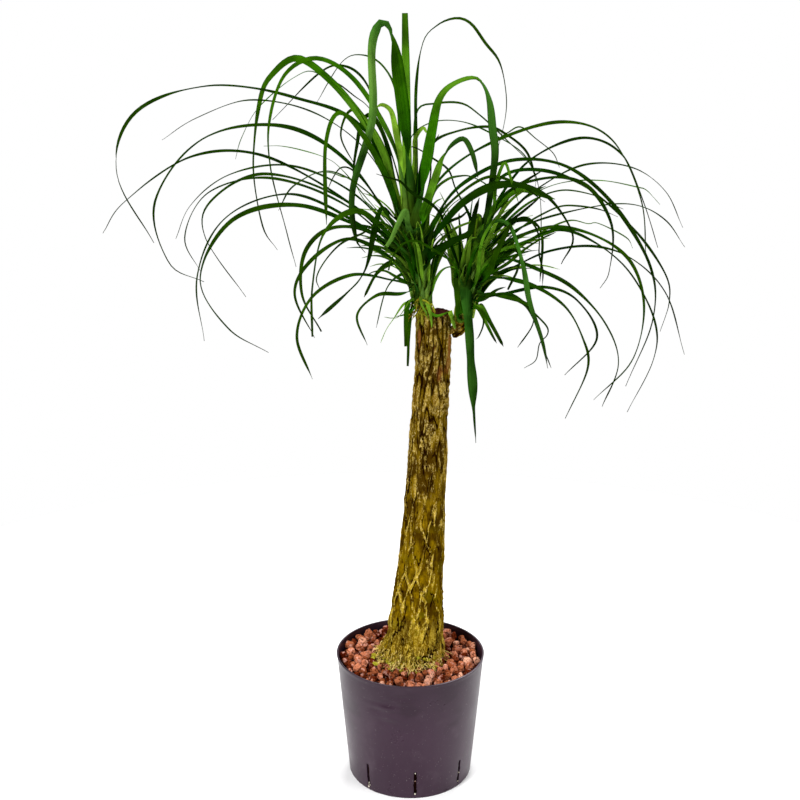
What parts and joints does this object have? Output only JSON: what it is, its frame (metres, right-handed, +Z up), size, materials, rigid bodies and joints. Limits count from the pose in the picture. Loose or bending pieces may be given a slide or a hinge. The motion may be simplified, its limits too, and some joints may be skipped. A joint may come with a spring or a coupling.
{
  "type": "potted ponytail palm",
  "caption": "House plant: two leafy shoots of long arching strap leaves on a cut woody trunk, standing in clay granules in a tapered plastic culture pot.",
  "frame": {"origin": "the middle of the pot's flat underside, on the surface it stands on", "axes": "+Z up along the pot's axis to the top leaf; the plant's front faces -Y, with the taller shoot towards -X"},
  "size_m": [0.7921, 0.4207, 1.097],
  "materials": {
    "plastic": "semi-gloss dark purple-grey",
    "clay": "matt, porous, reddish brown",
    "bark": "rough fissured bark",
    "sheath": "satin yellow-green",
    "blade": "satin leaf green"
  },
  "bodies": {
    "root": {"granule_bed": "clay", "leaf_left_01": "blade", "leaf_left_02": "blade", "leaf_left_03": "blade", "leaf_left_04": "blade", "leaf_left_05": "blade", "leaf_left_06": "blade", "leaf_left_07": "blade", "leaf_left_08": "blade", "leaf_left_09": "blade", "leaf_left_10": "blade", "leaf_left_11": "blade", "leaf_left_12": "blade", "leaf_left_13": "blade", "leaf_left_14": "blade", "leaf_left_15": "blade", "leaf_left_16": "blade", "leaf_left_17": "blade", "leaf_left_18": "blade", "leaf_left_19": "blade", "leaf_left_20": "blade", "leaf_left_21": "blade", "leaf_left_22": "blade", "leaf_left_23": "blade", "leaf_left_24": "blade", "leaf_left_25": "blade", "leaf_left_26": "blade", "leaf_left_27": "blade", "leaf_left_28": "blade", "leaf_left_29": "blade", "leaf_left_30": "blade", "leaf_left_31": "blade", "leaf_left_32": "blade", "leaf_left_33": "blade", "leaf_left_34": "blade", "leaf_left_35": "blade", "leaf_left_36": "blade", "leaf_left_37": "blade", "leaf_right_01": "blade", "leaf_right_02": "blade", "leaf_right_03": "blade", "leaf_right_04": "blade", "leaf_right_05": "blade", "leaf_right_06": "blade", "leaf_right_07": "blade", "leaf_right_08": "blade", "leaf_right_09": "blade", "leaf_right_10": "blade", "leaf_right_11": "blade", "leaf_right_12": "blade", "leaf_right_13": "blade", "leaf_right_14": "blade", "leaf_right_15": "blade", "leaf_right_16": "blade", "leaf_right_17": "blade", "pot": "plastic", "shoot_left": "sheath", "shoot_right": "sheath", "trunk": "bark"}
  },
  "joints": []
}
